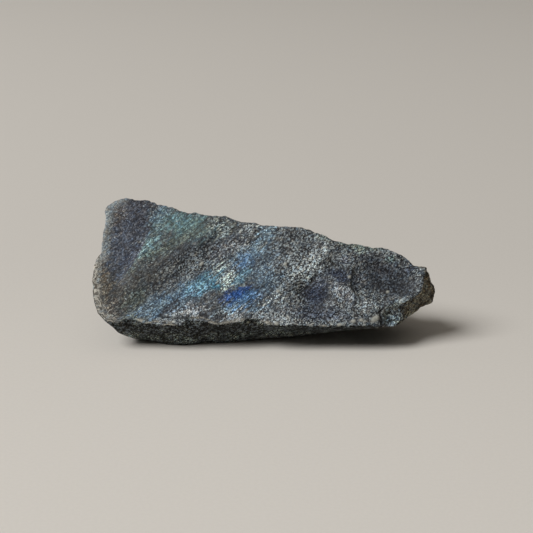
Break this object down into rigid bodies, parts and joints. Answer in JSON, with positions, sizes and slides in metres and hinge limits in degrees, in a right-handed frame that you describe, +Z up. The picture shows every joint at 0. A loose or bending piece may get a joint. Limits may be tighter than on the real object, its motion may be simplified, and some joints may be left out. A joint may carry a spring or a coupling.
{
  "type": "semi-polished labradorite chunk",
  "caption": "Elongated labradorite specimen with one leaning ground face, a dark undercut and rough broken sides, tapering to one end; rests on its underside.",
  "frame": {"origin": "middle of the stone's bounding box in plan, on the surface it rests on", "axes": "+X along the stone from its tall end to its low end, +Y from the ground face to the back, +Z up"},
  "size_m": [0.0998, 0.036, 0.0386],
  "materials": {
    "labradorite": "semi-polished, dark grey, with blue, teal and olive labradorescence"
  },
  "bodies": {
    "root": {"stone": "labradorite"}
  },
  "joints": []
}
